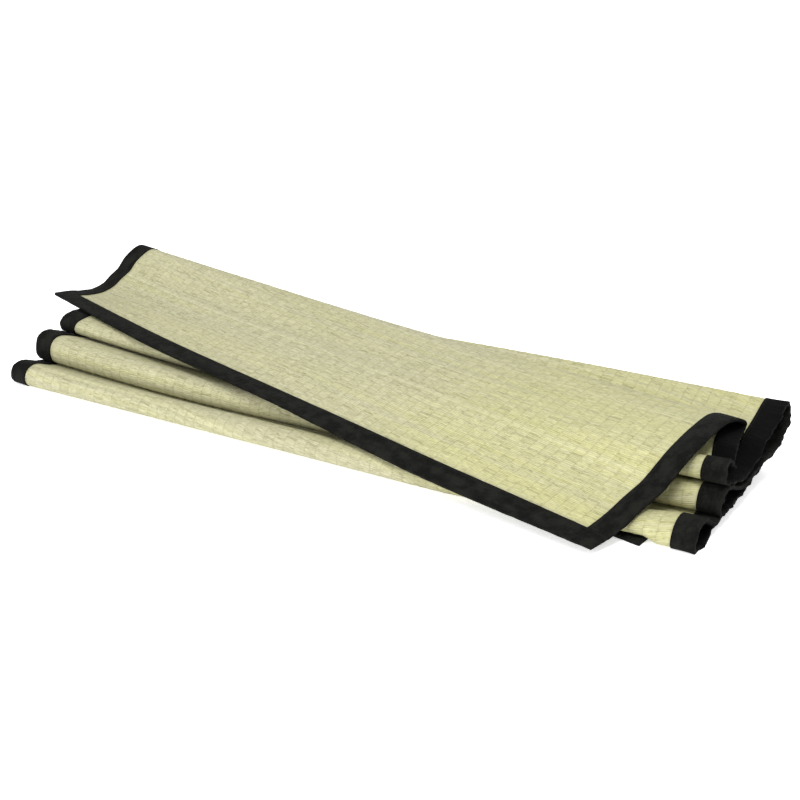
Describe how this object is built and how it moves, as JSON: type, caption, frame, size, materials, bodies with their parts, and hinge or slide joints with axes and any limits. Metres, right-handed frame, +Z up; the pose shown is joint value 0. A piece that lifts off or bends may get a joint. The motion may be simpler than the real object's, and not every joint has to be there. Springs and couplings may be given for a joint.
{
  "type": "rush floor mat",
  "caption": "Woven rush floor mat edged with dark cotton tape, folded back and forth into a low, slightly fanned stack with a wide top flap.",
  "frame": {"origin": "centre of the box round the folded mat, at floor height", "axes": "+X along the rushes, to the right seen from the rolled front; +Y to the back folds; +Z up"},
  "size_m": [0.965, 0.3565, 0.1139],
  "materials": {
    "rush": "matt dried rush, woven",
    "binding_tape": "matt plain-woven cotton tape"
  },
  "bodies": {
    "root": {"rush_sheet": "rush", "side_tape_left": "binding_tape", "side_tape_right": "binding_tape", "hem_tape_top": "binding_tape", "hem_tape_bottom": "binding_tape"}
  },
  "joints": []
}
